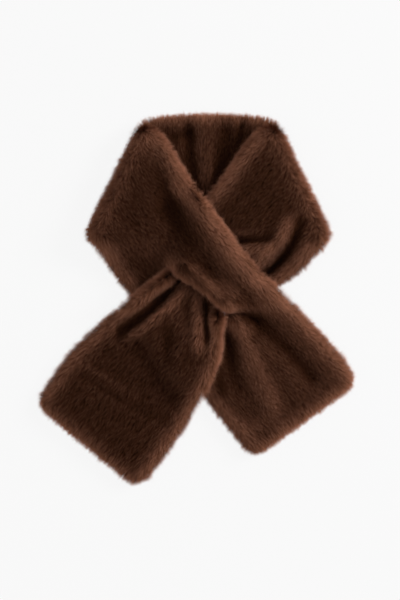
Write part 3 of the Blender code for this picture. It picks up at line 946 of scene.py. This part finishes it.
def scatteredRoots(mesh, weight, fields, count, rng):
    # random places on the cloth, as many to an area as its weight says, with the values
    # there of fields, one row for each point of the cloth
    points = arrays(mesh)
    normals = vertexNormals(mesh)
    corners = np.array(faceIndices(mesh))
    a, b, c = (points[corners[:, k]] for k in range(3))
    area = np.linalg.norm(np.cross(b - a, c - a), axis=1) / 2
    share = np.cumsum(area * weight[corners].mean(axis=1))
    chosen = np.searchsorted(share, rng.uniform(0, share[-1], count))
    u = np.sqrt(rng.uniform(0, 1, count))[:, None]
    v = rng.uniform(0, 1, count)[:, None]
    shares = (1 - u, u * (1 - v), u * v)
    roots = sum(s * points[corners[chosen, k]] for k, s in enumerate(shares))
    upward = sum(s * normals[corners[chosen, k]] for k, s in enumerate(shares))
    found = sum(s * fields[corners[chosen, k]] for k, s in enumerate(shares))
    return roots, unit(upward), found


def lockOf(roots, nap, rng):
    # the lock that each hair belongs to: its own number, and the lock's middle root
    heading = unit(nap.mean(axis=0)[None])[0]
    across = np.array([-heading[1], heading[0], 0.0])
    squeezed = np.stack(
        [roots @ heading / pile["lockStretch"], roots @ across, roots[:, 2]], axis=1
    )
    middles = rng.choice(len(roots), len(roots) // pile["lockSize"], replace=False)
    tree = pointTree(squeezed[middles])
    lock = np.array([tree.find(point)[1] for point in squeezed])
    return lock, middles[lock]


class Pile:
    # the hairs of one stretch: where they are rooted, how they lie, and how light they are
    def __init__(self, node, mesh, weight, fields, seed):
        self.settings = stretches[node]
        self.seed = seed
        self.rng = np.random.default_rng(seed)
        self.count = self.settings["hairs"]
        length = self.settings["length"]
        self.roots, self.normals, found = scatteredRoots(mesh, weight, fields, self.count, self.rng)
        self.openShare, self.bend, self.fromEdge = found[:, :3].T
        self.outside = unit(found[:, 3:])
        self.tilt = np.degrees(np.arccos(np.clip(self.outside[:, 2], -1, 1)))
        self.upSide = rising(self.tilt, *pile["sideTilts"])
        self.crease = rising(-foldHeights(length, self.roots), 0.0, pile["creaseFull"])
        self.foldShare, foldInward = turnShare(self.roots, pile["sweepReach"], length)
        nap = napDirections(self.roots, self.settings["nap"])
        self.nap = sweptAlong(nap, -foldInward, self.foldShare)
        self.lock, self.middle = lockOf(self.roots, self.nap, self.rng)
        self.locks = self.lock.max() + 1
        self.comb()
        self.grow()

    def either(self, count):
        return self.rng.uniform(-1, 1, count)

    def uneven(self, draw, shares):
        # chance that is partly each hair's own and partly its lock's
        own, shared = shares
        return own * draw(self.count) + shared * draw(self.locks)[self.lock]

    def drift(self, number, wave):
        return Drift(self.seed + number, wave).at(self.roots)

    def comb(self):
        # the way each hair stands, and the way it lies when it is combed along the nap
        upward = unit(self.normals * (1 - pile["splay"]) + self.outside * pile["splay"])
        inner = rising(self.fromEdge, *pile["levelFrom"])[:, None] * pile["level"]
        upward = unit(upward * (1 - inner) + upwards * inner)
        upward = unit(upward + np.outer(self.crease * pile["creaseStand"], upwards))
        axes = np.column_stack([-upward[:, 1], upward[:, 0], np.zeros(self.count)])
        turned = np.arccos(np.clip(upward[:, 2], -1, 1))
        lying = unit(turnedAbout(self.nap, unit(axes), turned))
        turn = pile["turnSpread"] * self.uneven(self.rng.standard_normal, pile["turnShares"])
        turn += pile["swirl"] * self.drift(1, pile["swirlWave"])
        turn += pile["ripple"] * self.drift(2, pile["rippleWave"])
        self.upward = upward
        self.lying = turnedAbout(lying, upward, np.radians(turn))

    def grow(self):
        # moves each root into the backing, and finds each tip
        spread = pile["leanSpread"] * self.uneven(self.rng.standard_normal, pile["leanShares"])
        spread += pile["ripple"] * self.drift(3, pile["rippleWave"])
        corner = np.max([nearness(self.roots, *place) for place in pile["flatCorners"]], axis=0)
        lean = pile["lean"] + (pile["sideLean"] - pile["lean"]) * self.upSide * (1 - corner)
        lean = np.radians(lean + pile["cornerLean"] * corner + spread)[:, None]
        chance = self.uneven(self.either, pile["lengthShares"])
        length = pile["length"] * (1 + pile["lengthSpread"] * chance)
        length *= 1 - (1 - pile["creaseLength"]) * self.crease
        length *= 1 + pile["ragged"] * self.upSide * self.drift(5, pile["raggedWave"])

        self.roots = self.roots - self.upward * pile["rooted"]
        heading = np.cos(lean) * self.upward + np.sin(lean) * self.lying
        sag = rising(self.upward[:, 2], *pile["droopFacing"]) * pile["droop"]
        heading = unit(heading - np.outer(sag, upwards))
        tips = self.roots + heading * (length + pile["rooted"])[:, None]
        loose = pile["lockLoose"] * rising(self.tilt, 0.0, pile["lockLooseTilt"])
        pull = pile["lockPull"] * (1 - loose)[:, None]
        self.tips = tips + (tips[self.middle] - tips) * pull

    def blades(self):
        # the two sides of each root and the tip, and the way that each hair is shaded
        along = self.tips - self.roots
        across = np.cross(along, self.upward)
        noWidth = np.linalg.norm(across, axis=1, keepdims=True) < 1e-7
        across = np.where(noWidth, np.cross(self.lying, self.upward), across)
        roll = np.radians(self.rng.uniform(-pile["roll"], pile["roll"], self.count))
        across = turnedAbout(unit(across), unit(along), roll)
        wide = across * pile["halfWidth"] * self.rng.uniform(*pile["widths"], (self.count, 1))
        facing = unit(np.cross(across, along))
        inwards = np.sum(facing * self.outside, axis=1, keepdims=True) < 0
        facing *= np.where(inwards, -1.0, 1.0)
        surface = unit(self.outside + np.outer(self.upSide * pile["litFromAbove"], upwards))
        lit = unit(surface * pile["litBySurface"] + facing * (1 - pile["litBySurface"]))
        corners = np.stack([self.roots - wide, self.roots + wide, self.tips], axis=1)
        corners[:, :, 2] = np.maximum(corners[:, :, 2], pile["floorGap"])
        return corners, lit

    def tones(self):
        # each hair's painted light and shade from slope, ridges, folds, rims, rows and shut-in
        # places, with random grain
        length = self.settings["length"]
        seen = self.roots + (self.tips - self.roots) * shade["seenAt"]
        tone = self.settings["tone"] + shade["slope"] * rising(self.tilt, 0.0, shade["slopeFull"])
        tone += shade["ridge"] * np.maximum(self.bend, -shade["leastBend"])
        tone += shade["fold"] * foldHeights(length, seen)
        tone += shade["edge"] * np.exp(-((self.fromEdge / shade["edgeWidth"]) ** 2))
        tone -= shade["turnedEdge"] * self.foldShare
        tone += rowSum(paintedShading[length], seen, shade["paintedShadingPower"])
        tone -= shade["shutInShade"] * (1 - self.openShare)
        grain = shade["lockNoise"] * self.rng.standard_normal(self.locks)[self.lock]
        grain += shade["hairNoise"] * self.rng.standard_normal(self.count)
        tone += grain * (shade["darkNoise"] + np.clip(tone, 0, 1))
        tone += shade["patchNoise"] * self.drift(4, shade["patchWave"])
        return np.clip(tone, *shade["ends"])


def hairMesh(name, corners, tone, lit):
    # one triangle for each hair; its place on the map is its tone and its run of colour
    count = len(corners)
    mesh = bpy.data.meshes.new(name)
    mesh.vertices.add(count * 3)
    mesh.vertices.foreach_set("co", corners.astype(np.float32).ravel())
    mesh.loops.add(count * 3)
    mesh.loops.foreach_set("vertex_index", np.arange(count * 3, dtype=np.int32))
    mesh.polygons.add(count)
    mesh.polygons.foreach_set("loop_start", np.arange(0, count * 3, 3, dtype=np.int32))
    mesh.update(calc_edges=True)
    rootColour, tipColour = pile["colourRun"]
    places = np.empty((count, 3, 2))
    places[:, :, 0] = tone[:, None] + np.array([-pile["toneWidth"], pile["toneWidth"], 0.0])
    places[:, :, 1] = (rootColour, rootColour, tipColour)
    layer = mesh.uv_layers.new(name="OFBake")
    layer.data.foreach_set("uv", places.astype(np.float32).ravel())
    mesh.shade_smooth()
    mesh.normals_split_custom_set_from_vertices(np.repeat(lit, 3, axis=0).tolist())
    return mesh


def pilePiece(node, base, clothTree, material, seed):
    # the pile that stands on one stretch of cloth, thinner where it is shut in
    points = arrays(base)
    outside = fieldOf(base, "outside")
    share = opennessOf(points, vertexNormals(base), clothTree)
    weight = rising(share, openness["hidden"], openness["full"])
    weight *= 1.0 + openness["edgeExtra"] * np.clip(1.0 - outside[:, 2], 0, 1)
    if node == "neck_back":
        tucked = turnShare(points, cloth["turnReach"])[0]
        weight *= 1.0 - rising(tucked, *openness["tucked"])
    fields = np.column_stack([share, fieldOf(base, "bend"), fieldOf(base, "fromEdge"), outside])
    hairs = Pile(node, base, weight, fields, seed)
    corners, lit = hairs.blades()
    mesh = hairMesh(camel(node) + "Pile", corners, hairs.tones(), lit)
    mesh.materials.append(material)
    piece = newObject(camel(node) + "Pile", mesh)
    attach(piece, "root")
    return piece


makeStudio()
print("studio made")
furMaterial = pileFinish()
backingMaterial = backingFinish()

bodies = {name: outerBody(name, nodes) for name, nodes in cloth["lengths"].items()}
trees = {name: meshTree(mesh) for name, mesh in bodies.items()}
pieces = {}
for name, nodes in cloth["lengths"].items():
    drawIn(name, bodies[name], [trees[other] for other in trees if other != name])
    for node, shape in partedCloth(name, bodies[name], nodes).items():
        pieces[node] = clothPiece(node, shape, backingMaterial)
        shape.free()
    print("cloth of the", name, "length:", len(bodies[name].polygons), "cells")
clothTree = meshTree(*(piece.data for piece in pieces.values()))

# each stretch has a seed of its own, so its hairs are the same from run to run
for number, node in enumerate(stretches, start=1):
    pilePiece(node, pieces[node].data, clothTree, furMaterial, 100 * number)
    print(node, "pile:", stretches[node]["hairs"], "hairs")
